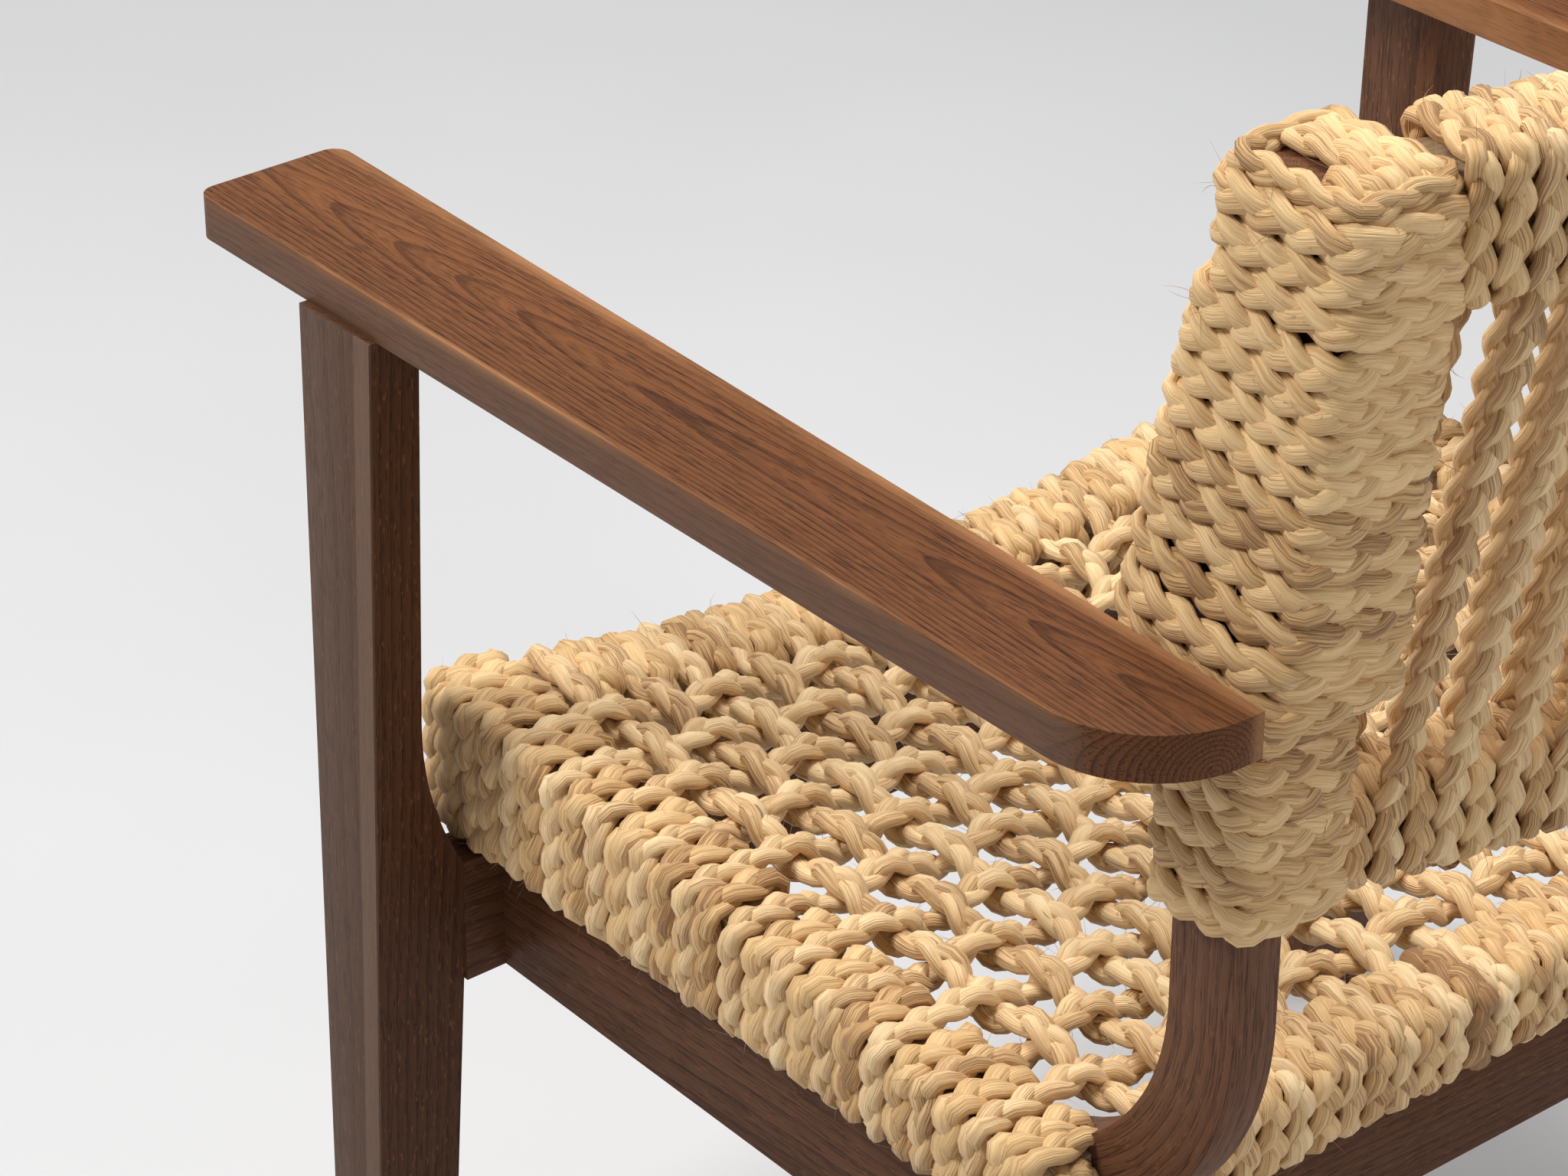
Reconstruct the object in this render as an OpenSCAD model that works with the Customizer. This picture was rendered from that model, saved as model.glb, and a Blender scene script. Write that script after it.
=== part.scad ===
// Wooden armchair with a rope-wrapped seat and back.
// Origin: middle of the plan box, on the floor. Front faces -Y, +Z is up, +X is the sitter's left.

/* [Overall] */
// Width over the outer faces of the legs and armrests
chair_w = 596; // [480:1:760]
// Depth from the front of the armrests to the back of the top rail
chair_d = 586; // [480:1:720]
// Height of the top of the armrests
arm_top = 575; // [520:1:700]
// Height of the rope on the side boards of the seat, at the front
seat_top = 375; // [330:1:440]
// Height of the rope on the back's top rail
back_top = 755; // [690:1:920]

/* [Armrests] */
// Thickness of an armrest
arm_t = 18; // [14:0.5:30]
// Thickness of the tongue that joins an armrest to its upright
tongue_t = 9; // [7:0.5:14]
// How far the armrest's outer edge stands inside the leg's outer face
arm_inset = 3.5; // [0:0.5:8]
// Width of an armrest at its front end
arm_w_front = 67.5; // [56:0.5:90]
// Width of an armrest at its rear end
arm_w_rear = 54; // [44:1:72]
// Radius of the two front corners
arm_corner_r = 8; // [3:1:14]
// Radius of the rear outer corner
arm_tail_r = 46; // [20:1:54]
// Radius under the armrest's front end
arm_nose_r = 15; // [4:1:16]
// Length of armrest behind the straight part of the uprights
arm_tail = 29; // [10:1:50]

/* [Front legs] */
// Distance from the armrest's front end to the leg, at the top
leg_set_top = 75; // [50:1:120]
// Distance from the armrest's front end to the leg, at the floor
leg_set_foot = 63; // [45:1:110]
// Depth of the leg at the top
leg_d_top = 46; // [34:1:60]
// Depth of the leg at the floor
leg_d_foot = 29; // [22:1:46]
// Thickness of the leg above the flare
leg_t_top = 23; // [18:1:36]
// How far the flare stands inwards from the upper leg
leg_flare = 20.4; // [8:0.2:30]
// Height of the flare's curve
leg_flare_h = 76; // [40:1:110]
// Thickness of the leg at the floor
leg_t_foot = 36; // [24:1:48]

/* [Rear legs] */
// Depth of a rear leg at the top
rear_d_top = 44; // [34:1:60]
// Depth of a rear leg at the floor
rear_d_foot = 34; // [24:1:46]
// Thickness of a rear leg at the floor
rear_t_foot = 34; // [24:1:44]
// Distance from the back of the chair to the back of the rear feet
rear_foot_set = 30; // [0:1:60]

/* [Lower frame] */
// Height of the rails
rail_h = 57; // [40:1:80]
// Thickness of the front rail
front_rail_t = 23; // [16:1:32]
// Thickness of the side rails
side_rail_t = 22; // [16:1:30]
// Thickness of the rear rail
rear_rail_t = 22; // [16:1:30]

/* [Seat frame] */
// Height of the seat boards at the front
board_h = 54; // [45:1:75]
// How much lower the seat is at the rear than at the front
seat_fall = 33; // [0:1:36]
// Thickness of the seat boards
board_t = 24; // [16:1:32]
// How far the front board is hollowed in its middle
seat_dip = 25; // [1:1:32]
// How far the side boards' outer face stands inside the legs' outer face
board_inset = 57; // [50:1:80]

/* [Back] */
// Thickness of the uprights
upright_t = 20; // [14:1:26]
// Depth of an upright's straight lower part
upright_d = 33; // [26:1:44]
// Radius of the front of the upright's bent foot
foot_r = 100; // [70:1:130]
// Height of the centre of the foot's bend above the seat boards' lower edge
foot_rise = 107; // [90:1:130]
// Distance from the seat's side rope to the chair's rearmost point
back_reach = 142; // [115:1:190]
// Distance from the front of the straight part to the chair's rearmost point
back_rake = 106; // [92:1:140]
// Depth of the wide upper part, just above the armrests
wing_d = 75; // [50:1:90]
// How far the rear edge of the upper part leans back on its way up
wing_lean = 15; // [4:1:24]
// Depth of the upper part at its top
head_d = 51; // [40:1:58]
// How far the front of the upper part steps back under its cap
head_step = 8; // [2:1:12]
// Thickness of the stiles inside the uprights
stile_t = 18; // [12:1:26]
// Height of the top rail
top_rail_h = 36; // [26:1:50]
// Depth of the top rail
top_rail_d = 32; // [22:1:38]
// Height of the bottom rail
low_rail_h = 24; // [18:1:34]
// Depth of the bottom rail
low_rail_d = 24; // [16:1:28]
// How far the bottom rail stands in front of the uprights' straight part
low_rail_set = 8; // [0:1:9]
// How far both rails of the back bow rearwards
bow = 30; // [5:1:60]
// Height of the bottom rail above the seat's front rope
low_rail_gap = 87; // [60:1:120]

/* [Rope] */
// Thickness of the rope on the seat boards
rope_t = 10; // [6:0.5:13]
// Thickness of the rope on the back
back_rope_t = 9; // [6:0.5:12]
// Width of the cords that cross the openings
cord_w = 13; // [9:0.5:15]
// Distance between neighbouring cords of the seat
seat_pitch = 28.2; // [24:0.1:36]
// Distance between neighbouring cords of the back
back_pitch = 24; // [20:0.1:32]
// How far the cords of the seat sag in the middle
seat_sag = 4; // [0:1:12]

/* [Fixings] */
// Radius of the dowels
dowel_r = 4; // [3:0.5:5]
// Length of the dowels
dowel_len = 36; // [20:1:44]
// Radius of the screws' shanks
screw_r = 2.2; // [1.5:0.1:3]
// Radius of the screws' heads
screw_head_r = 4.2; // [3:0.1:5]
// Radius of the rope tacks' shanks
tack_r = 0.8; // [0.5:0.1:1.5]
// Clearance round every dowel, screw and tack
fit = 0.1; // [0.05:0.05:0.3]

/* [Hidden] */
$fn = 64;

dark_wood = [0.27, 0.16, 0.10];
warm_wood = [0.40, 0.21, 0.11];
plain_wood = [0.66, 0.50, 0.34];
straw = [0.80, 0.68, 0.46];
pale_straw = [0.86, 0.76, 0.55];
steel = [0.62, 0.62, 0.60];

// front, rear and sides
y_front = -chair_d / 2;
y_back = chair_d / 2;
x_out = chair_w / 2;

// armrests
arm_under = arm_top - arm_t;
arm_x_out = x_out - arm_inset;
arm_x_front = arm_x_out - arm_w_front;
arm_x_rear = arm_x_out - arm_w_rear;

// uprights: straight part, then the wide wing above the armrests
up_y0 = y_back - back_rake;
up_y1 = up_y0 + upright_d;
arm_y_end = up_y1 + arm_tail;
head_y1 = y_back - back_rope_t - bow;
head_y0 = head_y1 - head_d;
wing_y1 = head_y1 - wing_lean;
wing_y0 = wing_y1 - wing_d;
wing_z = arm_under + 3;
head_z = back_top - back_rope_t;

// seat frame, which stands on the lower frame
board_z0 = seat_top - rope_t - board_h;
board_z1 = seat_top - rope_t;
rear_board_z1 = board_z1 - seat_fall;
rail_z1 = board_z0 - rope_t;
rail_z0 = rail_z1 - rail_h;
board_x1 = x_out - board_inset;
board_x0 = board_x1 - board_t;
board_y1 = y_back - back_reach;
seat_front_y = y_front + leg_set_top + 9;

// uprights and stiles stand inside the side boards
up_x1 = board_x0;
up_x0 = up_x1 - upright_t;
stile_x0 = up_x0 - stile_t;
bend_y = up_y0 - foot_r;
bend_z = board_z0 + foot_rise;
foot_tip_y = bend_y + 15;
rear_board_y0 = board_y1 - 6;
rear_board_y1 = rear_board_y0 + board_t;

// lower frame
flare_x = x_out - leg_t_top - leg_flare;
front_rail_y1 = seat_front_y + front_rail_t;
rear_rail_y0 = board_y1 - 17;
rear_rail_y1 = rear_rail_y0 + rear_rail_t;
side_rail_x0 = board_x0 - 4;
rear_leg_y0 = rear_rail_y0 - (rear_d_top - rear_rail_t) / 2;
rear_foot_y1 = y_back - rear_foot_set;

// back rails: arcs in plan between the stiles
span = stile_x0;
bow_r = (span * span + bow * bow) / (2 * bow);
top_rail_y = head_y1 - top_rail_d / 2;
top_rail_z0 = head_z - top_rail_h;
low_rail_y = up_y0 - low_rail_set + low_rail_d / 2;
low_rail_z0 = seat_top + low_rail_gap;
low_rail_z1 = low_rail_z0 + low_rail_h;

// rope sleeves on the posts
low_wrap_z0 = low_rail_z0;
low_wrap_z1 = arm_under - 1;
up_wrap_z0 = wing_z;
cap_z0 = top_rail_z0 - back_rope_t;
neck_y0 = head_y0 - head_step;
neck_z = cap_z0 - 4;

// opening of the seat between the sleeves
open_x = board_x0 - rope_t;
open_y0 = seat_front_y + board_t + rope_t;
open_y1 = rear_board_y0 - rope_t;
tube_sides = 8;

// height of the side boards' sloping top at y
function board_top_at(y) = board_z1 - seat_fall * (y - seat_front_y) / (board_y1 - seat_front_y);

// draws its children on the sitter's left, or mirrored on the right
module side(right = false) {
    mirror([right ? 1 : 0, 0, 0]) children();
}

// block between two corners
module block(low, high) {
    translate(low) cube(high - low);
}

// plate of thickness t from x0, outlined in Y and Z
module plate_x(x0, t) {
    translate([x0, 0, 0]) rotate([90, 0, 90]) linear_extrude(t) children();
}

// plate from y0 to y1, outlined in X and Z
module plate_y(y0, y1) {
    translate([0, y1, 0]) rotate([90, 0, 0]) linear_extrude(y1 - y0) children();
}

// what a round corner of radius r takes off the outline at p, between its neighbours a and b
module corner_cut(p, a, b, r) {
    u = (a - p) / norm(a - p);
    v = (b - p) / norm(b - p);
    turn = acos(u * v);
    reach = r / tan(turn / 2);
    middle = p + (u + v) * r / sin(turn);
    difference() {
        polygon([p, p + u * reach, middle, p + v * reach]);
        translate(middle) circle(r);
    }
}

// rectangle with round corners, between two corners
module round_rect(low, high, r) {
    translate([low[0] + r, low[1]]) square([high[0] - low[0] - 2 * r, high[1] - low[1]]);
    translate([low[0], low[1] + r]) square([high[0] - low[0], high[1] - low[1] - 2 * r]);
    for (x = [low[0] + r, high[0] - r], y = [low[1] + r, high[1] - r])
        translate([x, y]) circle(r);
}

// a dowel or a shank along one axis, centred on p
module rod(p, axis, len, r) {
    turn = axis == "x" ? [0, 90, 0] : axis == "y" ? [90, 0, 0] : [0, 0, 0];
    translate(p) rotate(turn) cylinder(h = len, r = r, center = true, $fn = 32);
}

// a screw whose head sits at p and whose shank runs along dir
module screw(p, dir, len, extra = 0) {
    turn = dir == "+x" ? [0, 90, 0] : dir == "-x" ? [0, -90, 0] : [0, 0, 0];
    translate(p) rotate(turn) {
        cylinder(h = len + extra, r = screw_r + extra, $fn = 32);
        translate([0, 0, -extra]) cylinder(h = 2.4 + extra, r = screw_head_r + extra, $fn = 32);
    }
}

// dowels of the lower frame: rails into legs, side rails into the front and rear rails
module frame_dowel_set(extra = 0) {
    len = dowel_len + 2 * extra;
    r = dowel_r + extra;
    for (right = [false, true], up = [0.28, 0.72]) side(right) {
        z = rail_z0 + up * rail_h;
        rod([flare_x, seat_front_y + front_rail_t / 2, z], "x", len, r);
        rod([flare_x, rear_rail_y0 + rear_rail_t / 2, z], "x", len, r);
        rod([side_rail_x0 + side_rail_t / 2, front_rail_y1, z], "y", len, r);
        rod([side_rail_x0 + side_rail_t / 2, rear_rail_y0, z], "y", len, r);
    }
}

// dowels from the front legs up into the armrests
module arm_dowel_set(extra = 0) {
    len = dowel_len - 8 + 2 * extra;
    for (right = [false, true], along = [0.27, 0.73]) side(right)
        rod([x_out - leg_t_top / 2, y_front + leg_set_top + along * leg_d_top, arm_under - 2],
            "z", len, dowel_r + extra);
}

// dowels of the seat frame: front board into the side boards, rear board into the feet
module seat_dowel_set(extra = 0) {
    len = dowel_len - 4 + 2 * extra;
    r = dowel_r + extra;
    for (right = [false, true]) side(right) {
        for (up = [0.25, 0.7])
            rod([board_x0, seat_front_y + board_t / 2, board_z0 + up * board_h], "x", len, r);
        rod([up_x0, rear_board_y0 + board_t / 2 + 1, board_z0 + 10], "x", len - 4, r);
    }
}

// dowels from the back's rails into the stiles
module back_dowel_set(extra = 0) {
    len = dowel_len - 10 + 2 * extra;
    for (right = [false, true]) side(right) {
        for (up = [0.25, 0.75])
            rod([stile_x0, top_rail_y, top_rail_z0 + up * top_rail_h], "x", len, dowel_r + extra);
        rod([stile_x0, low_rail_y + 2, low_rail_z0 + low_rail_h / 2], "x", len, dowel_r + extra);
    }
}

// screws through stile and upright into the armrest's tongue
module arm_screw_set(extra = 0) {
    for (right = [false, true], along = [0.3, 0.7]) side(right)
        screw([stile_x0, up_y0 + along * upright_d, arm_under + tongue_t / 2], "+x",
            stile_t + upright_t + arm_x_rear - up_x1, extra);
}

// screws up through the side rails into the seat boards, sunk half-way
seat_screw_bite = 14;
module seat_screw_set(extra = 0) {
    seat = rail_h * 0.45;
    for (right = [false, true], along = [0.15, 0.5, 0.85]) side(right) {
        place = [(board_x0 + side_rail_x0 + side_rail_t) / 2,
            front_rail_y1 + along * (rear_rail_y0 - front_rail_y1), rail_z0 + seat];
        screw(place, "+z", rail_h - seat + rope_t + seat_screw_bite, extra);
        if (extra > 0)
            translate([place[0], place[1], rail_z0 - 1])
                cylinder(h = seat + 1, r = screw_head_r + extra, $fn = 32);
    }
}

// screws through the uprights' feet into the side boards
module foot_screw_set(extra = 0) {
    for (right = [false, true], back = [10, 28]) side(right)
        screw([up_x0, board_y1 - back, board_z0 + 7], "+x",
            upright_t + board_t * 0.7, extra);
}

// screws from the stiles into the uprights
module stile_screw_set(extra = 0) {
    for (right = [false, true], z = [low_wrap_z0 + 55, up_wrap_z0 + 45, top_rail_z0 - 25]) side(right)
        screw([stile_x0, up_y0 + upright_d * 0.6, z], "+x", stile_t + upright_t * 0.7, extra);
}

// tacks that hold the rope's ends under the boards and behind the posts
module tack_set(extra = 0) {
    len = 11;
    for (right = [false, true]) side(right) {
        for (y = [seat_front_y + 12, board_y1 - 45])
            rod([board_x1 - 7, y, board_z0 + 0.5], "z", len, tack_r + extra);
        for (y = [seat_front_y + board_t / 2, rear_board_y0 + board_t / 2])
            rod([open_x - 20, y, board_z0 + 0.5], "z", len, tack_r + extra);
        for (z = [low_wrap_z0 + 40, arm_under - 12])
            rod([up_x0 - 4, up_y1 - 0.5, z], "y", len, tack_r + extra);
    }
}

// front leg: tapered in side view, flared inwards below the seat in front view
module front_leg_solid() {
    y0 = y_front + leg_set_top;
    foot_y0 = y_front + leg_set_foot;
    inner = x_out - leg_t_top;
    flare_z = rail_z1 + 1;
    curve_r = (leg_flare * leg_flare + leg_flare_h * leg_flare_h) / (2 * leg_flare);
    intersection() {
        plate_x(flare_x - 1, x_out - flare_x + 1)
            polygon([[y0, arm_under], [y0 + leg_d_top, arm_under],
                [foot_y0 + leg_d_foot, 0], [foot_y0, 0]]);
        plate_y(foot_y0 - 1, y0 + leg_d_top + 1) difference() {
            polygon([[x_out, 0], [x_out, arm_under], [inner, arm_under],
                [inner, flare_z + leg_flare_h], [flare_x, flare_z + leg_flare_h],
                [flare_x, flare_z], [flare_x, rail_z0], [x_out - leg_t_foot, 0]]);
            translate([inner - curve_r, flare_z + leg_flare_h]) circle(curve_r, $fn = 128);
        }
    }
}

module front_leg(right) {
    color(dark_wood) side(right) difference() {
        front_leg_solid();
        frame_dowel_set(fit);
        arm_dowel_set(fit);
    }
}

// rear leg: short, raked backwards and tapered to the floor
module rear_leg(right) {
    color(dark_wood) side(right) difference() {
        intersection() {
            plate_x(flare_x, x_out - flare_x)
                polygon([[rear_leg_y0, rail_z1], [rear_leg_y0 + rear_d_top, rail_z1],
                    [rear_foot_y1, 0], [rear_foot_y1 - rear_d_foot, 0]]);
            plate_y(rear_leg_y0 - 1, y_back)
                polygon([[x_out, 0], [x_out, rail_z1], [flare_x, rail_z1],
                    [flare_x, rail_z0], [x_out - rear_t_foot, 0]]);
        }
        frame_dowel_set(fit);
    }
}

// armrest: tapered board, with a tongue that reaches the upright
module armrest_solid() {
    front_in = [arm_x_front, y_front];
    front_out = [arm_x_out, y_front];
    rear_out = [arm_x_out, arm_y_end];
    rear_in = [arm_x_rear, arm_y_end];
    difference() {
        union() {
            translate([0, 0, arm_under]) linear_extrude(arm_t) difference() {
                polygon([front_in, front_out, rear_out, rear_in]);
                corner_cut(front_in, front_out, rear_in, arm_corner_r);
                corner_cut(front_out, front_in, rear_out, arm_corner_r);
                corner_cut(rear_out, front_out, rear_in, arm_tail_r);
            }
            block([up_x1, up_y0, arm_under], [arm_x_rear + 2, up_y1, arm_under + tongue_t]);
        }
        plate_x(arm_x_front - 1, arm_w_front + 2) corner_cut([y_front, arm_under],
            [y_front, arm_top], [y_front + 2 * arm_t, arm_under], arm_nose_r);
    }
}

module armrest(right) {
    color(warm_wood) side(right) difference() {
        armrest_solid();
        arm_dowel_set(fit);
        arm_screw_set(fit);
    }
}

module front_rail() {
    color(dark_wood) difference() {
        block([-flare_x, seat_front_y, rail_z0], [flare_x, front_rail_y1, rail_z1]);
        frame_dowel_set(fit);
    }
}

module rear_rail() {
    color(dark_wood) difference() {
        block([-flare_x, rear_rail_y0, rail_z0], [flare_x, rear_rail_y1, rail_z1]);
        frame_dowel_set(fit);
    }
}

module side_rail(right) {
    color(dark_wood) side(right) difference() {
        block([side_rail_x0, front_rail_y1, rail_z0],
            [side_rail_x0 + side_rail_t, rear_rail_y0, rail_z1]);
        frame_dowel_set(fit);
        seat_screw_set(fit);
    }
}

// outline of the front board in X and Z, grown outwards by the rope's thickness
module dipped_outline(half, grow) {
    dip_r = (board_x0 * board_x0 + seat_dip * seat_dip) / (2 * seat_dip);
    top = board_z1 + grow;
    difference() {
        translate([-half, board_z0 - grow]) square([2 * half, board_h + 2 * grow]);
        translate([0, top - seat_dip + dip_r]) circle(dip_r, $fn = 256);
    }
}

module front_board_solid() {
    plate_y(seat_front_y, seat_front_y + board_t) dipped_outline(board_x0, 0);
}

module rear_board_solid() {
    block([-up_x0, rear_board_y0, board_z0], [up_x0, rear_board_y1, rear_board_z1]);
}

module side_board_solid() {
    plate_x(board_x0, board_t) polygon([[seat_front_y, board_z0], [board_y1, board_z0],
        [board_y1, rear_board_z1], [seat_front_y, board_z1]]);
}

module seat_board_front() {
    color(plain_wood) difference() {
        front_board_solid();
        seat_dowel_set(fit);
        tack_set(fit);
    }
}

module seat_board_rear() {
    color(plain_wood) difference() {
        rear_board_solid();
        seat_dowel_set(fit);
        tack_set(fit);
    }
}

module seat_board(right) {
    color(plain_wood) side(right) difference() {
        side_board_solid();
        seat_dowel_set(fit);
        seat_screw_set(fit);
        foot_screw_set(fit);
        tack_set(fit);
    }
}

// outline of the back post above z0 in Y and Z: straight, then the wide wing, then the head
module post_outline(z0) {
    polygon([[up_y0, z0], [up_y0, wing_z - 2], [wing_y0, wing_z], [neck_y0, neck_z],
        [head_y0, cap_z0], [head_y0, head_z], [head_y1, head_z], [wing_y1, wing_z],
        [up_y1, wing_z - 2], [up_y1, z0]]);
}

// the bent foot: a quarter of a ring, cut off level with the seat board's lower edge
module foot_outline() {
    difference() {
        intersection() {
            translate([bend_y, bend_z]) circle(foot_r + upright_d, $fn = 128);
            translate([foot_tip_y, board_z0]) square([up_y1 - foot_tip_y + 1, bend_z - board_z0]);
        }
        translate([bend_y, bend_z]) circle(foot_r, $fn = 128);
    }
}

// front face of the foot at height z
function foot_front(z) = max(foot_tip_y, bend_y + sqrt(max(0, pow(foot_r, 2) - pow(bend_z - z, 2))));

module upright_solid() {
    plate_x(up_x0, upright_t) {
        post_outline(bend_z);
        foot_outline();
    }
}

module stile_solid() {
    plate_x(stile_x0, stile_t) post_outline(low_rail_z0);
}

module back_upright(right) {
    color(dark_wood) side(right) difference() {
        upright_solid();
        seat_dowel_set(fit);
        arm_screw_set(fit);
        foot_screw_set(fit);
        stile_screw_set(fit);
        tack_set(fit);
    }
}

module back_stile(right) {
    color(plain_wood) side(right) difference() {
        stile_solid();
        back_dowel_set(fit);
        arm_screw_set(fit);
        stile_screw_set(fit);
        tack_set(fit);
    }
}

// a bar bowed in plan between two x limits; its profile is given in (radius, height)
module bowed(y_end, half) {
    centre_y = y_end - bow_r + bow;
    sweep = 2 * asin(min(1, (span + 30) / bow_r));
    intersection() {
        translate([0, centre_y, 0]) rotate([0, 0, 90 - sweep / 2])
            rotate_extrude(angle = sweep, $fn = 128) translate([bow_r, 0]) children();
        block([-half, y_end - 3 * bow, 0], [half, y_back + 50, back_top + 50]);
    }
}

module top_rail_solid() {
    bowed(top_rail_y, span) translate([-top_rail_d / 2, top_rail_z0]) square([top_rail_d, top_rail_h]);
}

module low_rail_solid() {
    bowed(low_rail_y, span) translate([-low_rail_d / 2, low_rail_z0]) square([low_rail_d, low_rail_h]);
}

module back_top_rail() {
    color(plain_wood) difference() {
        top_rail_solid();
        back_dowel_set(fit);
    }
}

module back_bottom_rail() {
    color(plain_wood) difference() {
        low_rail_solid();
        back_dowel_set(fit);
    }
}

// outside of the rope on a side board: level lower half, upper half that falls with the seat
module side_sleeve() {
    x0 = board_x0 - rope_t;
    x1 = board_x1 + rope_t;
    y0 = seat_front_y - rope_t;
    z0 = board_z0 - rope_t;
    split = (board_z0 + rear_board_z1) / 2;
    fall = seat_fall / (board_y1 - y0);
    plate_y(y0, board_y1) intersection() {
        round_rect([x0, z0], [x1, split + 2 * rope_t], rope_t);
        translate([x0 - 1, z0 - 1]) square([x1 - x0 + 2, split - z0 + 1]);
    }
    intersection() {
        multmatrix([[1, 0, 0, 0], [0, 1, 0, 0], [0, -fall, 1, fall * y0], [0, 0, 0, 1]])
            plate_y(y0, board_y1) round_rect([x0, z0 - rope_t], [x1, seat_top], rope_t);
        block([x0 - 1, y0 - 1, split], [x1 + 1, board_y1 + 1, seat_top + 1]);
    }
}

// rope on the side boards, from the front corner to the upright's foot
module seat_wrap_side(right) {
    color(straw) side(right) difference() {
        side_sleeve();
        side_board_solid();
        front_board_solid();
        upright_solid();
        seat_screw_set(fit);
        tack_set(fit);
    }
}

module seat_wrap_front() {
    color(straw) difference() {
        plate_y(seat_front_y - rope_t, open_y0) dipped_outline(open_x, rope_t);
        for (edge = [[seat_front_y - rope_t, 1], [open_y0, -1]])
            plate_x(-open_x - 1, 2 * open_x + 2) corner_cut([edge[0], board_z0 - rope_t],
                [edge[0] + edge[1] * 20, board_z0 - rope_t], [edge[0], seat_top], rope_t);
        front_board_solid();
        tack_set(fit);
    }
}

module seat_wrap_rear() {
    color(straw) difference() {
        plate_x(-up_x0, 2 * up_x0) round_rect([open_y1, board_z0 - rope_t],
            [rear_board_y1 + rope_t, rear_board_z1 + rope_t], rope_t);
        rear_board_solid();
        tack_set(fit);
    }
}

// rope on a post: the core's faces at one height, grown by the rope's thickness
module post_slice(z, grow) {
    y0 = wing_y0 + (z - wing_z) / (neck_z - wing_z) * (neck_y0 - wing_y0);
    y1 = wing_y1 + (z - wing_z) / (head_z - wing_z) * (head_y1 - wing_y1);
    translate([0, 0, z]) linear_extrude(0.01)
        round_rect([stile_x0 - grow, y0 - grow], [up_x1 + grow, y1 + grow], grow, $fn = 32);
}

module back_wrap_upper(right) {
    color(straw) side(right) difference() {
        hull() {
            post_slice(up_wrap_z0, back_rope_t);
            post_slice(cap_z0 - 0.01, back_rope_t);
        }
        upright_solid();
        stile_solid();
        armrest_solid();
    }
}

module back_wrap_lower(right) {
    color(straw) side(right) difference() {
        translate([0, 0, low_wrap_z0]) linear_extrude(low_wrap_z1 - low_wrap_z0)
            round_rect([stile_x0 - back_rope_t, up_y0 - back_rope_t],
                [up_x1 + back_rope_t, up_y1 + back_rope_t], back_rope_t);
        upright_solid();
        stile_solid();
        low_rail_solid();
        tack_set(fit);
    }
}

// coil and strips that close the top of a post
module post_cap(right) {
    color(pale_straw) side(right) difference() {
        translate([0, 0, cap_z0]) linear_extrude(back_top - cap_z0)
            round_rect([stile_x0 - back_rope_t, head_y0 - back_rope_t],
                [up_x1 + back_rope_t, head_y1 + back_rope_t], back_rope_t);
        upright_solid();
        stile_solid();
        top_rail_solid();
    }
}

module back_wrap_top() {
    grow = back_rope_t;
    color(straw) difference() {
        bowed(top_rail_y, stile_x0 - grow)
            round_rect([-top_rail_d / 2 - grow, top_rail_z0 - grow], [top_rail_d / 2 + grow, back_top], grow);
        top_rail_solid();
    }
}

module back_wrap_bottom() {
    grow = back_rope_t;
    color(straw) difference() {
        bowed(low_rail_y, stile_x0 - grow)
            round_rect([-low_rail_d / 2 - grow, low_rail_z0 - grow],
                [low_rail_d / 2 + grow, low_rail_z1 + grow], grow);
        low_rail_solid();
    }
}

// height of the seat's weave at x, y: it falls with the side boards and follows the hollow front board
function weave_z(x, y) =
    let (across = 1 - pow(x / open_x, 2),
        ahead = (open_y1 - y) / (open_y1 - open_y0),
        sag = seat_sag * 4 * ahead * (1 - ahead))
    board_top_at(y) - across * (seat_dip * pow(ahead, 1.5) + sag);

// closed tube along pts; each ring has its flats up, down and to the sides
module tube(pts, r, along_x) {
    n = len(pts);
    corner = r / cos(180 / tube_sides);
    rings = [for (p = pts, k = [0 : tube_sides - 1])
        let (a = (k + 0.5) * 360 / tube_sides, s = corner * cos(a), h = corner * sin(a))
        along_x ? [p[0], p[1] + s, p[2] + h] : [p[0] - s, p[1], p[2] + h]];
    walls = [for (i = [0 : n - 2], k = [0 : tube_sides - 1])
        let (j = (k + 1) % tube_sides, a = i * tube_sides, b = a + tube_sides)
        each [[a + k, b + k, b + j], [a + k, b + j, a + j]]];
    ends = [[for (k = [0 : tube_sides - 1]) k],
        [for (k = [tube_sides - 1 : -1 : 0]) (n - 1) * tube_sides + k]];
    polyhedron(points = rings, faces = concat(walls, ends), convexity = 4);
}

across_count = floor((open_y1 - open_y0 - cord_w) / seat_pitch) + 1;
along_count = floor((2 * open_x - cord_w) / seat_pitch) + 1;
function across_y(i) = (open_y0 + open_y1) / 2 + (i - (across_count - 1) / 2) * seat_pitch;
function along_x(i) = (i - (along_count - 1) / 2) * seat_pitch;

module seat_cords_across() {
    steps = 10;
    r = cord_w / 2;
    color(pale_straw) for (i = [0 : across_count - 1]) {
        y = across_y(i);
        // a cord that meets the uprights' feet ends at them
        half = y + r > foot_front(weave_z(up_x0, y) - cord_w) ? up_x0 : open_x;
        tube([for (k = [0 : steps]) let (x = half * (2 * k / steps - 1)) [x, y, weave_z(x, y) - r]],
            r, true);
    }
}

module seat_cords_lengthwise() {
    steps = 6;
    r = cord_w / 2;
    color(pale_straw) for (i = [0 : along_count - 1]) {
        x = along_x(i);
        tube([for (k = [0 : steps]) let (y = open_y0 + (open_y1 - open_y0) * k / steps)
            [x, y, weave_z(x, y) + r + 0.2]], r, false);
    }
}

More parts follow.
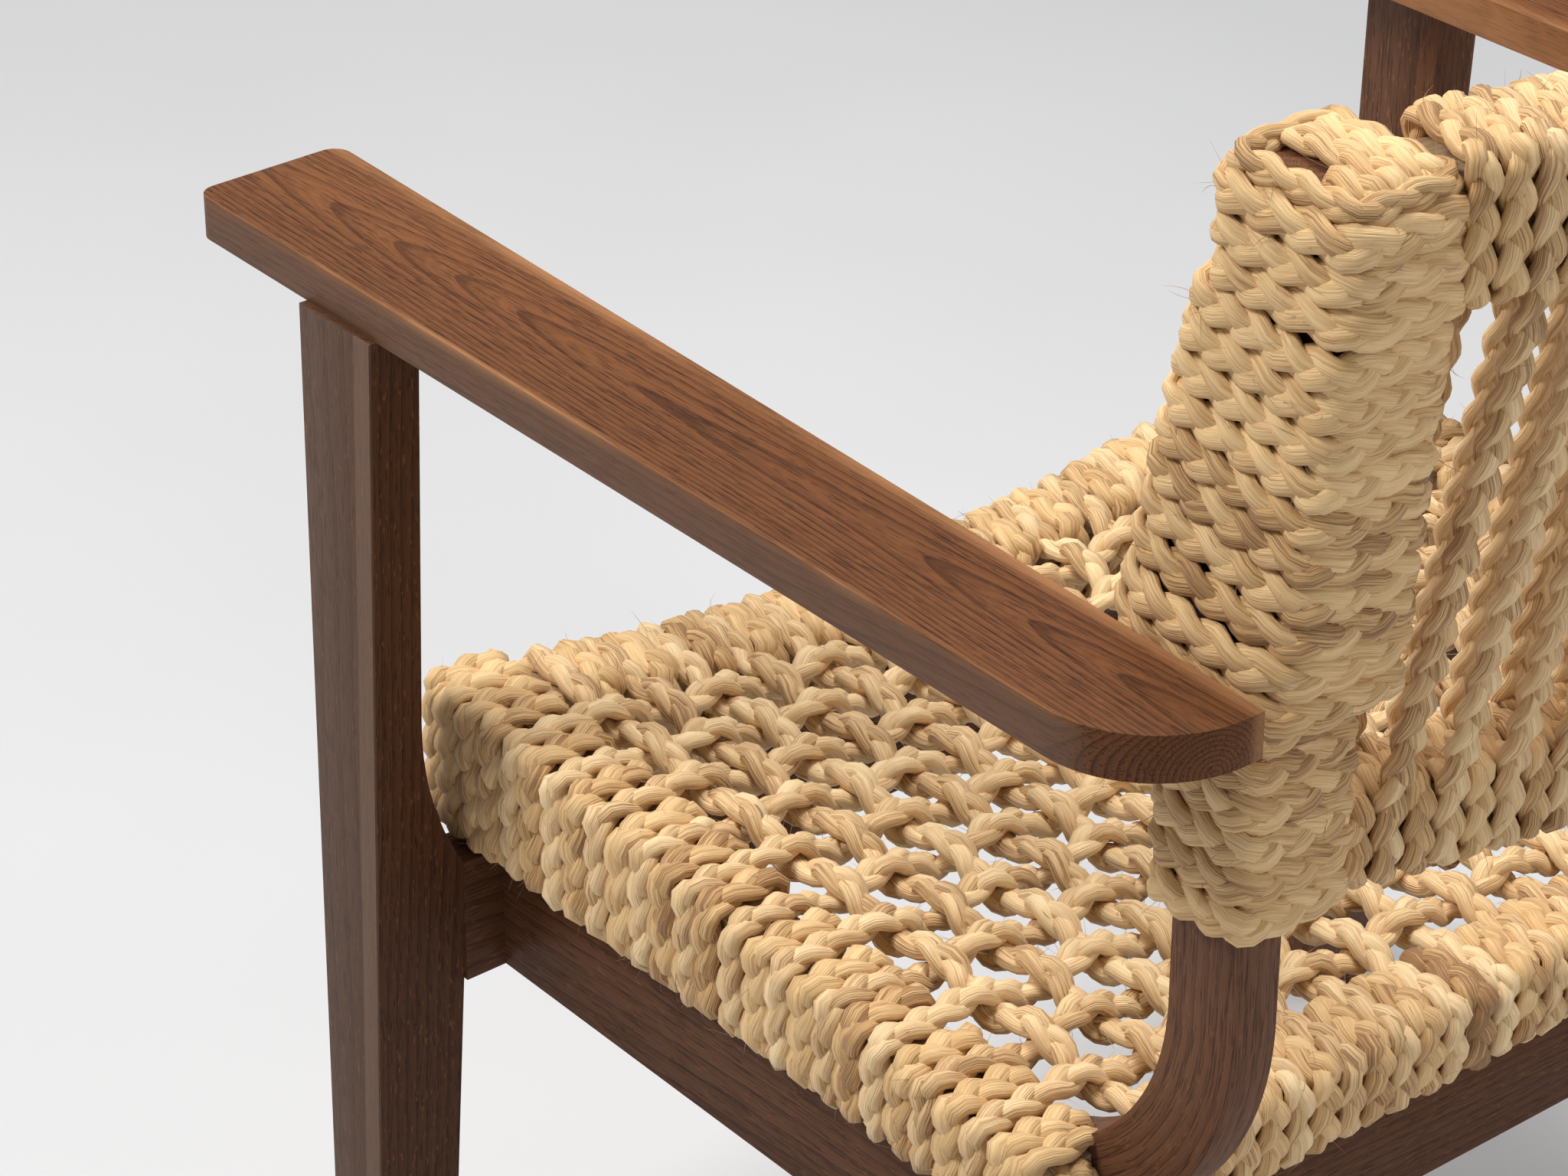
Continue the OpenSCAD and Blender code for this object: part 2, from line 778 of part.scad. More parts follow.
// cords between the back's rails; front = -1 or rear = 1 face of both rails
cord_count = 2 * floor((bow_r * asin(span / bow_r) * PI / 180 - back_rope_t - cord_w) / back_pitch) + 1;
module back_cords(face) {
    r = back_rope_t / 2;
    half_top = face * (top_rail_d / 2 + r);
    half_low = face * (low_rail_d / 2 + r);
    z_low = low_rail_z1 + back_rope_t;
    z_top = top_rail_z0 - back_rope_t;
    color(pale_straw) for (i = [0 : cord_count - 1]) {
        a = (i - (cord_count - 1) / 2) * back_pitch / bow_r * 180 / PI;
        low = [(bow_r + half_low) * sin(a), low_rail_y - bow_r + bow + (bow_r + half_low) * cos(a)];
        top = [(bow_r + half_top) * sin(a), top_rail_y - bow_r + bow + (bow_r + half_top) * cos(a)];
        multmatrix([
            [1, 0, (top[0] - low[0]) / (z_top - z_low), low[0]],
            [0, 1, (top[1] - low[1]) / (z_top - z_low), low[1]],
            [0, 0, 1, z_low],
            [0, 0, 0, 1]])
            linear_extrude(z_top - z_low) circle(r, $fn = 12);
    }
}

module frame_dowels() { color(plain_wood) frame_dowel_set(); }
module arm_dowels() { color(plain_wood) arm_dowel_set(); }
module seat_dowels() { color(plain_wood) seat_dowel_set(); }
module back_dowels() { color(plain_wood) back_dowel_set(); }
module arm_screws() { color(steel) arm_screw_set(); }
module seat_screws() { color(steel) seat_screw_set(); }
module foot_screws() { color(steel) foot_screw_set(); }
module stile_screws() { color(steel) stile_screw_set(); }
module rope_tacks() { color(steel) tack_set(); }

front_leg(false);  // front_leg_left
front_leg(true);  // front_leg_right
rear_leg(false);  // rear_leg_left
rear_leg(true);  // rear_leg_right
armrest(false);  // armrest_left
armrest(true);  // armrest_right
front_rail();
rear_rail();
side_rail(false);  // side_rail_left
side_rail(true);  // side_rail_right
seat_board_front();
seat_board_rear();
seat_board(false);  // seat_board_left
seat_board(true);  // seat_board_right
back_upright(false);  // back_upright_left
back_upright(true);  // back_upright_right
back_stile(false);  // back_stile_left
back_stile(true);  // back_stile_right
back_top_rail();
back_bottom_rail();
seat_wrap_front();
seat_wrap_rear();
seat_wrap_side(false);  // seat_wrap_left
seat_wrap_side(true);  // seat_wrap_right
back_wrap_upper(false);  // back_wrap_upper_left
back_wrap_upper(true);  // back_wrap_upper_right
back_wrap_lower(false);  // back_wrap_lower_left
back_wrap_lower(true);  // back_wrap_lower_right
back_wrap_top();
back_wrap_bottom();
post_cap(false);  // post_cap_left
post_cap(true);  // post_cap_right
seat_cords_across();
seat_cords_lengthwise();
back_cords(-1);  // back_cords_front
back_cords(1);  // back_cords_rear
frame_dowels();
arm_dowels();
seat_dowels();
back_dowels();
arm_screws();
seat_screws();
foot_screws();
stile_screws();
rope_tacks();
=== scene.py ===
# %% [markdown]
# # A wooden armchair wound with plaited straw rope
# The chair has a frame of stained beech and a seat and back of rope. The rope isn't twisted but plaited
# from three flat strands, so this script makes each strand as a real mesh and leads it round the boards.
# The wooden parts are the exact CAD parts. They only get soft edges and a finish here.

# %% the shared frame
import math

import bpy
import numpy as np
from mathutils import Matrix, Vector


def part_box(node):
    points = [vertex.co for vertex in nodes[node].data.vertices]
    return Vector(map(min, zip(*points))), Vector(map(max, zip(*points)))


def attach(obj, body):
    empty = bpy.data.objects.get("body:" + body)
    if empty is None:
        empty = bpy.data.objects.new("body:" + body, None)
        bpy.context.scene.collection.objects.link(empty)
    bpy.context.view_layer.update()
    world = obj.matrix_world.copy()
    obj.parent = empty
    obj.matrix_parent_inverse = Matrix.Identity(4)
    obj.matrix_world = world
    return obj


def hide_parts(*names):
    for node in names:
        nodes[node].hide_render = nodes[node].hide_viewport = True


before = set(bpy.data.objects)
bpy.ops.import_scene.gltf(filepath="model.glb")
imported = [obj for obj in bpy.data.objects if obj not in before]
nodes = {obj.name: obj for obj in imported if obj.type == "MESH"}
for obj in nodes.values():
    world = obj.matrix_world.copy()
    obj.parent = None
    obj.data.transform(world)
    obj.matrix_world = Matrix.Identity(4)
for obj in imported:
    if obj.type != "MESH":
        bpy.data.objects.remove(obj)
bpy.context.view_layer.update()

# %% [markdown]
# ## The viewpoint
# A long lens from behind and above the left armrest keeps the boards nearly parallel. The camera's three
# directions are built from where it looks, so that the horizon stays level.

# %% camera
eye = Vector((1.2136, 1.2053, 1.4032))
ahead = Vector((-0.545, -0.673, -0.5)).normalized()
to_right = ahead.cross(Vector((0, 0, 1))).normalized()
upwards = to_right.cross(ahead)
lens = bpy.data.cameras.new("long_lens")
lens.lens, lens.sensor_width = 113.66, 36
lens.dof.use_dof = False
camera = bpy.data.objects.new("camera", lens)
camera.matrix_world = Matrix.Translation(eye) @ Matrix((to_right, upwards, -ahead)).transposed().to_4x4()
bpy.context.collection.objects.link(camera)
bpy.context.scene.camera = camera
print("camera looks along", tuple(round(v, 3) for v in ahead))

# %% [markdown]
# ## Shader building blocks
# A procedural finish is a small graph of nodes. These helpers add a node, wire its inputs and hand back
# the output, so that a finish further down reads like a formula.


# %% shader helpers
def material(name):
    m = bpy.data.materials.new(name)
    m.use_nodes = True
    m.node_tree.nodes.clear()
    return m, m.node_tree


def add(tree, kind, wires=None, out=0, **settings):
    n = tree.nodes.new(kind)
    for key, value in settings.items():
        setattr(n, key, value)
    for key, value in (wires or {}).items():
        if isinstance(value, bpy.types.NodeSocket):
            tree.links.new(value, n.inputs[key])
        else:
            n.inputs[key].default_value = value
    return n.outputs[out]


def calc(tree, operation, a, b=0.0, clamp=False):
    return add(tree, "ShaderNodeMath", {0: a, 1: b}, operation=operation, use_clamp=clamp)


def between(tree, value, low, high, start=0.0, end=1.0):
    return add(tree, "ShaderNodeMapRange",
               {"Value": value, "From Min": low, "From Max": high, "To Min": start, "To Max": end},
               interpolation_type="SMOOTHSTEP")


def mix(tree, share, a, b):
    n = tree.nodes.new("ShaderNodeMix")
    n.data_type = "RGBA"
    for key, value in ((0, share), (6, a), (7, b)):
        if isinstance(value, bpy.types.NodeSocket):
            tree.links.new(value, n.inputs[key])
        else:
            n.inputs[key].default_value = value if key == 0 else (*value, 1)
    return n.outputs[2]


def ramp(tree, value, stops):
    n = tree.nodes.new("ShaderNodeValToRGB")
    tree.links.new(value, n.inputs[0])
    while len(n.color_ramp.elements) < len(stops):
        n.color_ramp.elements.new(0.5)
    for element, (place, colour) in zip(n.color_ramp.elements, stops):
        element.position, element.color = place, (*colour, 1)
    return n.outputs[0]


def noise(tree, where, scale, detail=3.0, rough=0.55):
    return add(tree, "ShaderNodeTexNoise",
               {"Vector": where, "Scale": scale, "Detail": detail, "Roughness": rough})


def principled(tree, colour, roughness, height=None, depth=0.0002, **more):
    wires = {"Base Color": colour, "Roughness": roughness, **more}
    if height is not None:
        wires["Normal"] = add(tree, "ShaderNodeBump", {"Height": height, "Distance": depth, "Strength": 1.0})
    surface = add(tree, "ShaderNodeBsdfPrincipled", wires)
    output = tree.nodes.new("ShaderNodeOutputMaterial")
    tree.links.new(surface, output.inputs["Surface"])


print("shader helpers ready")

# %% [markdown]
# ## Beech
# A board is a slice out of a tree's rings. The finish does the same: it measures the distance from a
# tree's middle that lies outside the board and runs slightly askew to it. Flat faces then get the long
# flames of sawn beech by themselves, and the edges get straight lines. Beech also shows short dark pores
# and paler flecks, which are thin noise stretched along the grain. On the bent foot of an upright, the
# grain turns with the wood, so there the length is measured along the bend.


# %% beech finish
upright_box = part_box("back_upright_left")
# the bend's centre, and the radius of its middle line
bend_height = upright_box[0][2] + 0.107
bend_depth = 0.087
bend_radius = 0.116
# the armrest's outer edge, top and front end, where the finish wears; the outer edge and top also bound a painted
# sheen on the outer side face
ARM_EDGE, ARM_TOP, ARM_FRONT = 0.2945, 0.575, -0.293
# the leg's outer face, which gets a painted sheen and a painted highlight strip along its rear edge
LEG_FACE = 0.298


def beech(name, grain, pale, deep, heart, skew=0.09, ring=0.0042, fleck=0.35, edge=None, rough=0.44):
    m, t = material(name)
    place = add(t, "ShaderNodeTexCoord", out=3)
    split = t.nodes.new("ShaderNodeSeparateXYZ")
    t.links.new(place, split.inputs[0])
    x, y, z = split.outputs
    if grain == "x":
        along, across, through = x, y, z
    elif grain == "y":
        along, across, through = y, x, z
    elif grain == "z":
        along, across, through = z, x, y
    else:
        dy = calc(t, "SUBTRACT", y, bend_depth)
        dz = calc(t, "SUBTRACT", z, bend_height)
        low = calc(t, "MINIMUM", dz, 0.0)
        turned = calc(t, "MULTIPLY", calc(t, "ARCTAN2", low, dy), bend_radius)
        along = calc(t, "ADD", calc(t, "MAXIMUM", dz, 0.0), turned)
        through = calc(t, "SQRT", calc(t, "ADD", calc(t, "MULTIPLY", dy, dy), calc(t, "MULTIPLY", low, low)))
        across = x
    board = add(t, "ShaderNodeCombineXYZ", {0: along, 1: across, 2: through})
    slow = add(t, "ShaderNodeVectorMath", {0: board, 1: (3, 15, 15)}, operation="MULTIPLY")
    fine = add(t, "ShaderNodeVectorMath", {0: board, 1: (70, 1500, 1500)}, operation="MULTIPLY")
    short = add(t, "ShaderNodeVectorMath", {0: board, 1: (160, 620, 620)}, operation="MULTIPLY")
    wander = calc(t, "MULTIPLY", calc(t, "SUBTRACT", noise(t, slow, 0.8, 2.0), 0.5), 0.013)
    side = calc(t, "SUBTRACT", across, heart[0])
    down = calc(t, "SUBTRACT", through, calc(t, "ADD", calc(t, "MULTIPLY", along, skew), heart[1]))
    away = calc(t, "SQRT", calc(t, "ADD", calc(t, "MULTIPLY", side, side), calc(t, "MULTIPLY", down, down)))
    rings = calc(t, "DIVIDE", calc(t, "ADD", away, wander), ring)
    year = calc(t, "FRACT", rings)
    lines = ramp(t, year, [(0.0, (0.90,) * 3), (0.50, (0.74,) * 3), (0.80, (0.34,) * 3), (0.90, (0.06,) * 3),
                           (0.95, (0.90,) * 3)])
    hair = calc(t, "SINE", calc(t, "MULTIPLY", rings, 25.0))
    broad = noise(t, slow, 0.55, 2.0)
    tone = calc(t, "ADD", calc(t, "MULTIPLY", lines, 0.66), calc(t, "MULTIPLY", between(t, broad, 0.3, 0.7), 0.34))
    tone = calc(t, "ADD", tone, calc(t, "MULTIPLY", hair, 0.07), clamp=True)
    colour = mix(t, tone, deep, pale)
    pores = between(t, noise(t, fine, 1.0, 2.0), 0.54, 0.66)
    colour = mix(t, calc(t, "MULTIPLY", pores, 0.6), colour, tuple(0.35 * c for c in deep))
    marks = between(t, noise(t, short, 1.0, 1.0), 0.64, 0.72)
    tan = (min(1, pale[0] * 1.7), pale[1] * 1.7, pale[2] * 1.5)
    colour = mix(t, calc(t, "MULTIPLY", marks, fleck), colour, tan)
    if edge == "arm":
        wide = calc(t, "ABSOLUTE", x)
        inner = calc(t, "ADD", calc(t, "MULTIPLY", calc(t, "SUBTRACT", y, ARM_FRONT), 0.0249), 0.227)
        worn = between(t, calc(t, "SUBTRACT", wide, inner), 0.001, 0.008, 1.0, 0.0)
        rubbed = between(t, calc(t, "SUBTRACT", ARM_EDGE, wide), 0.0, 0.003, 1.0, 0.0)
        rim = calc(t, "MULTIPLY", rubbed, between(t, z, ARM_TOP - 0.005, ARM_TOP - 0.001))
        patch = between(t, noise(t, slow, 2.4), 0.4, 0.62)
        patchy = calc(t, "ADD", calc(t, "MULTIPLY", patch, 0.5), 0.2)
        worn = calc(t, "MULTIPLY", calc(t, "MAXIMUM", worn, rim), patchy)
        colour = mix(t, worn, colour, (0.42, 0.20, 0.085))
        # painted sheen: the armrest's outer side face below the top is mixed towards a greyer tone, standing in
        # for light glancing off it
        under_top = between(t, z, ARM_TOP - 0.0015, ARM_TOP - 0.0005, 1.0, 0.0)
        painted_sheen = calc(t, "MULTIPLY", under_top, between(t, wide, ARM_EDGE - 0.0045, ARM_EDGE - 0.0005))
        colour = mix(t, calc(t, "MULTIPLY", painted_sheen, 0.55), colour, (0.17, 0.098, 0.066))
    if edge == "leg":
        # painted highlight: a lighter strip near the rear edge of the leg's outer face, where its rounded edge
        # catches the light
        rear = calc(t, "ADD", calc(t, "MULTIPLY", z, 0.052), -0.201)
        painted_highlight_strip = between(t, calc(t, "SUBTRACT", rear, y), 0.009, 0.011, 1.0, 0.0)
        # painted sheen: the leg's whole outer face is mixed towards a greyer tone, standing in for light glancing
        # off it
        outer = between(t, calc(t, "ABSOLUTE", x), LEG_FACE - 0.0015, LEG_FACE - 0.0005)
        colour = mix(t, calc(t, "MULTIPLY", outer, 0.5), colour, (0.105, 0.068, 0.050))
        colour = mix(t, calc(t, "MULTIPLY", calc(t, "MULTIPLY", painted_highlight_strip, outer), 0.35), colour, (0.27, 0.17, 0.12))
    height = calc(t, "SUBTRACT", calc(t, "MULTIPLY", lines, 0.25), pores)
    shine = between(t, broad, 0.3, 0.7, rough + 0.06, rough - 0.04)
    principled(t, colour, shine, height, 0.00012, **{"Specular IOR Level": 0.12})
    return m


arm_wood = beech("arm_beech", "y", (0.235, 0.090, 0.032), (0.048, 0.017, 0.008), (0.260, 0.551), 0.030,
                 0.0019, 0.10, "arm", 0.42)
stain = ((0.150, 0.062, 0.028), (0.058, 0.023, 0.011))
leg_wood = beech("leg_beech", "z", *stain, (0.20, -0.26), 0.03, 0.0040, 0.55, "leg")
rail_wood_x = beech("cross_rail_beech", "x", *stain, (0.10, 0.10), 0.04)
rail_wood_y = beech("side_rail_beech", "y", *stain, (0.12, 0.20), 0.04)
bent_wood = beech("bent_beech", "foot", (0.185, 0.080, 0.040), (0.070, 0.030, 0.017), (0.12, 0.04), 0.02,
                  0.0038, 0.25)
plain = ((0.58, 0.41, 0.26), (0.42, 0.28, 0.16))
core_x = beech("plain_beech_across", "x", *plain, (0.05, 0.25), 0.03, rough=0.62)
core_y = beech("plain_beech_lengthwise", "y", *plain, (0.15, 0.20), 0.03, rough=0.62)
core_z = beech("plain_beech_upright", "z", *plain, (0.12, 0.10), 0.03, rough=0.62)
print("beech finishes:", 8)

# %% [markdown]
# ## Steel
# The screws and tacks are small and mostly hidden. Turned steel is grey with fine rings and a soft shine.

# %% steel finish
steel, t = material("screw_steel")
spot = add(t, "ShaderNodeTexCoord", out=3)
grey = ramp(t, noise(t, spot, 900.0), [(0.3, (0.42, 0.42, 0.41)), (0.7, (0.62, 0.62, 0.60))])
principled(t, grey, 0.38, Metallic=1.0)
print("steel finish ready")

# %% [markdown]
# ## Soft edges on the wood
# No joiner leaves an arris sharp. A bevel modifier rounds every edge by about a millimetre and leaves the
# CAD mesh itself alone. Weld comes first, because a bevel needs faces that share their edges.

# %% dress the wooden and steel nodes
dress = {
    arm_wood: ["armrest_left", "armrest_right"],
    leg_wood: ["front_leg_left", "front_leg_right", "rear_leg_left", "rear_leg_right"],
    rail_wood_x: ["front_rail", "rear_rail"],
    rail_wood_y: ["side_rail_left", "side_rail_right"],
    bent_wood: ["back_upright_left", "back_upright_right"],
    core_x: ["seat_board_front", "seat_board_rear", "back_top_rail", "back_bottom_rail",
             "frame_dowels", "seat_dowels", "back_dowels"],
    core_y: ["seat_board_left", "seat_board_right"],
    core_z: ["back_stile_left", "back_stile_right", "arm_dowels"],
    steel: ["arm_screws", "seat_screws", "foot_screws", "stile_screws", "rope_tacks"],
}
softened = 0
for finish, names in dress.items():
    for name in names:
        part = nodes[name]
        part.data.materials.clear()
        part.data.materials.append(finish)
        part.data.shade_smooth()
        weld = part.modifiers.new("weld", "WELD")
        weld.merge_threshold = 0.00001
        edge = part.modifiers.new("soft edge", "BEVEL")
        small = finish is steel or name.endswith("dowels")
        edge.width = 0.0002 if small else 0.0014
        edge.segments = 1 if small else 3
        edge.limit_method, edge.angle_limit = "ANGLE", math.radians(38)
        edge.harden_normals = True
        softened += 1
print("nodes with a finish and soft edges:", softened)

# %% [markdown]
# ## Plaiting a rope
# In a plait of three, each strand swings from side to side once a lay, and dips below a neighbour twice
# in that time. So a strand's path is the rope's path plus a sine sideways and a sine of twice the angle
# up and down, a third of a turn apart for the three strands. Each strand is a flattened tube whose rings
# stand square to the strand's own path. Square to the rope instead, they would look like a row of beads.
# Every vertex also keeps a tone, because no two lengths of straw have the same colour.

# %% plait maker
dice = np.random.default_rng(20)
# sides of a strand, rings to a lay, and the length of a lay
SIDES = 10
RINGS = 14
LAY = 0.048
# half a strand's width and height, as shares of the plait's
WIDE, HIGH = 0.27, 0.30


def evenly(points, closed, step):
    p = np.asarray(points, float)
    if closed:
        p = np.vstack([p, p[:1]])
    run = np.r_[0, np.cumsum(np.linalg.norm(np.diff(p, axis=0), axis=1))]
    count = max(12, int(round(run[-1] / step)))
    at = np.linspace(0, run[-1], count + 1)
    q = np.stack([np.interp(at, run, p[:, k]) for k in range(3)], 1)
    return (q[:-1] if closed else q), run[-1]


def soften(p, closed, reach):
    weights = np.hanning(2 * reach + 3)[1:-1]
    weights /= weights.sum()
    if closed:
        q = np.pad(p, ((reach, reach), (0, 0)), mode="wrap")
    else:
        q = np.pad(p, ((reach, reach), (0, 0)), mode="reflect", reflect_type="odd")
    return np.stack([np.convolve(q[:, k], weights, mode="valid") for k in range(3)], 1)


def unit(v):
    return v / np.linalg.norm(v, axis=-1, keepdims=True)


def drift(count, spread):
    knots = dice.normal(0, spread, max(3, count // 14) + 1)
    return np.interp(np.linspace(0, len(knots) - 1, count), np.arange(len(knots)), knots)


def plait(points, side, width, thick, closed=True, corner=4):
    p, length = evenly(points, closed, 0.0015)
    p = soften(p, closed, corner)
    p, length = evenly(p, closed, 0.0015)
    lays = max(2, round(length / LAY)) if closed else length / LAY
    p, _ = evenly(p, closed, length / round(lays * RINGS))
    n = len(p)
    if closed:
        tangent = unit(np.roll(p, -1, 0) - np.roll(p, 1, 0))
    else:
        tangent = unit(np.gradient(p, axis=0))
    side = np.broadcast_to(np.asarray(side, float), p.shape)
    side = unit(side - (side * tangent).sum(1, keepdims=True) * tangent)
    out = np.cross(side, tangent)
    run = np.arange(n) * length / (n if closed else n - 1)
    wide, high = WIDE * width, HIGH * thick
    swing, dip = width / 2 - wide, thick / 2 - high
    start, tone = dice.uniform(0, 2 * math.pi), dice.normal(0.5, 0.10)
    ring = np.arange(SIDES) * 2 * math.pi / SIDES
    flutes = 1 + 0.03 * np.cos(np.arange(SIDES) * math.pi)
    flat = [np.sign(f(ring)) * np.abs(f(ring)) ** 0.9 for f in (np.cos, np.sin)]
    strands = []
    for k in range(3):
        phi = 2 * math.pi * (run / length * lays + k / 3) + start
        loose = 1 + (0 if closed else 1) * drift(n, 0.03)  # a closed turn draws too, but stays even
        sweep = (np.sin(phi) - 0.10 * np.sin(3 * phi)) / 1.10
        middle = p + side * (swing * sweep * loose)[:, None] + out * (dip * np.sin(2 * phi))[:, None]
        lead = unit(np.roll(middle, -1, 0) - np.roll(middle, 1, 0) if closed else np.gradient(middle, axis=0))
        flank = unit(np.cross(lead, out))
        lift = np.cross(flank, lead)
        size = np.ones(n)
        if not closed:
            size = np.clip(np.minimum(np.arange(n), np.arange(n)[::-1]) / 3 + 0.15, 0, 1)
        # a closed strand's unevenness fades to nothing where its ends meet
        fade = np.sin(np.linspace(0, math.pi, n)) if closed else 1
        fat = 1 + 0.10 * np.sin(2 * phi) + drift(n, 0.05) * fade
        ra, rb = (wide * size * fat)[:, None, None], (high * size * fat)[:, None, None]
        uneven = flutes * (1 + dice.normal(0, 0.022, SIDES)) + drift(n, 0.02)[:, None]
        shell = middle[:, None] + flank[:, None] * ra * (uneven * flat[0])[:, :, None] \
            + lift[:, None] * rb * (uneven * flat[1])[:, :, None]
        shade = np.clip(tone + dice.normal(0, 0.10) + drift(n, 0.07), 0, 1)
        strands.append((shell, closed, run, shade))
    return strands


def rope_piece(name, plaits, stands_for, finish):
    verts, faces, uvs, tones, first = [], [], [], [], 0
    k = np.arange(SIDES)
    for shell, closed, run, shade in (s for p in plaits for s in p):
        n = len(shell)
        rows = np.arange(n if closed else n - 1)[:, None]
        after = (rows + 1) % n
        beside = (k + 1) % SIDES
        corners = [rows * SIDES + k, rows * SIDES + beside, after * SIDES + beside, after * SIDES + k]
        faces.append(np.stack(corners, 2).reshape(-1, 4) + first)
        shift = dice.uniform(0, 20, 2)
        step = run[1] - run[0]
        u0, u1 = run[rows] + 0 * k + shift[0], run[rows] + step + 0 * k + shift[0]
        v0, v1 = k / SIDES + 0 * rows + shift[1], (k + 1) / SIDES + 0 * rows + shift[1]
        uvs.append(np.stack([np.stack([u0, v0], 2), np.stack([u0, v1], 2), np.stack([u1, v1], 2),
                             np.stack([u1, v0], 2)], 2).reshape(-1, 2))
        verts.append(shell.reshape(-1, 3))
        tones.append(np.repeat(shade, SIDES))
        first += n * SIDES
    mesh = bpy.data.meshes.new(name)
    mesh.from_pydata(np.concatenate(verts), [], np.concatenate(faces).tolist())
    layer = mesh.uv_layers.new(name="straw")
    layer.data.foreach_set("uv", np.concatenate(uvs).ravel().astype(np.float32))
    tone = mesh.attributes.new("tone", "FLOAT", "POINT")
    tone.data.foreach_set("value", np.concatenate(tones).astype(np.float32))
    mesh.shade_smooth()
    mesh.materials.append(finish)
    rope = bpy.data.objects.new(name, mesh)
    bpy.context.collection.objects.link(rope)
    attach(rope, "root")
    if stands_for:
        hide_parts(*stands_for)
    all_plaits.extend(plaits)
    print(name, "plaits:", len(plaits), "faces:", len(mesh.polygons))
    return rope


all_plaits = []

# %% [markdown]
# ## Straw
# Straw rope is pale gold with fibres that run along each strand, a few of them brown or nearly white. The
# mesh's own lengthwise coordinate stretches the noise, so that the streaks follow every bend. A fine bump
# makes the light break up on the fibres.


# %% straw finish
def straw(name, dark, middle, light):
    m, t = material(name)
    lay = add(t, "ShaderNodeUVMap", uv_map="straw")
    streak = add(t, "ShaderNodeVectorMath", {0: lay, 1: (26, 11, 0)}, operation="MULTIPLY")
    thread = add(t, "ShaderNodeVectorMath", {0: lay, 1: (55, 44, 0)}, operation="MULTIPLY")
    tone = add(t, "ShaderNodeAttribute", out=2, attribute_name="tone")
    bands = noise(t, streak, 1.0, 4.0, 0.6)
    threads = noise(t, thread, 1.0, 2.0, 0.6)
    level = calc(t, "ADD", calc(t, "MULTIPLY", bands, 0.5), calc(t, "MULTIPLY", threads, 0.5))
    level = calc(t, "ADD", level, calc(t, "MULTIPLY", calc(t, "SUBTRACT", tone, 0.5), 0.42))
    pale = tuple(min(1, 1.16 * c) for c in light)
    colour = ramp(t, level, [(0.33, dark), (0.44, middle), (0.57, light), (0.72, pale)])
    principled(t, colour, 0.62, threads, 0.0008, **{"Sheen Weight": 0.1})
    return m


wrapped = straw("wrapped_rope", (0.31, 0.152, 0.052), (0.66, 0.395, 0.160), (0.84, 0.570, 0.275))
crossing = straw("open_cord", (0.35, 0.185, 0.072), (0.74, 0.475, 0.220), (0.92, 0.660, 0.360))
print("straw finishes: 2")

# %% [markdown]
# ## The side boards of the seat
# Each side board is wound from the front corner to the upright's foot. Every second turn isn't closed: it
# comes from the seat as a crossing cord, goes round the board and is tucked in. The board gets lower
# towards the rear, so each turn's height is worked out from its place.

# %% seat sizes, from the CAD boxes
def corners(node):
    return (np.array(c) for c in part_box(node))


side_lo, side_hi = corners("seat_board_left")
front_lo, front_hi = corners("seat_board_front")
rear_lo, rear_hi = corners("seat_board_rear")
# distance between crossing cords, half the seat rope's thickness and the width of a turn
PITCH = 0.0282
H = 0.005
SEAT_W = PITCH / 2 + 0.0030
tops = np.array([v.co for v in nodes["seat_board_front"].data.vertices])
dip = front_hi[2] - tops[tops[:, 2] > front_lo[2] + 0.02][:, 2].min()
dip_r = (side_lo[0] ** 2 + dip ** 2) / (2 * dip)
open_x = side_lo[0] - 2 * H
open_front, open_rear = front_hi[1] + 2 * H, rear_lo[1] - 2 * H
middle_y = (open_front + open_rear) / 2
print("seat opening:", round(2 * open_x, 3), "x", round(open_rear - open_front, 3), "dip:", round(dip, 3))


def side_top(y):
    share = (y - side_lo[1]) / (side_hi[1] - side_lo[1])
    return side_hi[2] + (rear_hi[2] - side_hi[2]) * np.clip(share, 0, 1)


def front_top(x):
    return front_hi[2] - dip + dip_r - np.sqrt(dip_r ** 2 - np.minimum(abs(x), side_lo[0]) ** 2)


def weave(x, y):
    to_front = np.clip((open_rear - y) / (open_rear - open_front), 0, 1)
    sag = 0.004 * 4 * to_front * (1 - to_front)
    return side_top(y) - (1 - (x / open_x) ** 2) * (dip * to_front ** 1.5 + sag) + 0.002


# %% turns on the side boards
def side_turn(y, s, inset=0.0):
    x0, x1 = side_lo[0] - H + inset, side_hi[0] + H - inset
    z0, z1 = side_lo[2] - H + inset, side_top(y) + H - inset
    loop = [(x0, z0), (x1, z0), (x1, z1), (x0, z1)]
    lean = dice.normal(0, 0.0006)
    return [(s * x, y + lean * k, z) for k, (x, z) in enumerate(loop)]


closed_places = [middle_y + k * PITCH / 2 for k in range(-14, 14) if k % 2]
closed_places = [y for y in closed_places if side_lo[1] - 0.002 < y < side_hi[1] - 0.004]
end_places = [y for y in (middle_y + k * PITCH / 2 for k in (-12, -14, 12))
              if side_lo[1] - 0.004 < y < side_hi[1] - 0.004]
for s, hand in ((1, "left"), (-1, "right")):
    turns = [plait(side_turn(y, s), (0, 1, 0), SEAT_W, 2 * H) for y in closed_places + end_places]
    for nose in (side_lo[1] - 0.0042, side_hi[1] - 0.0035):
        turns.append(plait(side_turn(nose, s, 0.0006), (0, 1, 0), 0.0145, 2 * H))
    for nose, insets in ((side_lo[1] - 0.0060, (0.010, 0.019)), (side_hi[1] + 0.0010, (0.009,))):
        turns += [plait(side_turn(nose, s, inset), (0, 1, 0), 0.012, 2 * H, corner=3) for inset in insets]
    rope_piece(f"seat_rope_{hand}", turns, [f"seat_wrap_{hand}"], wrapped)

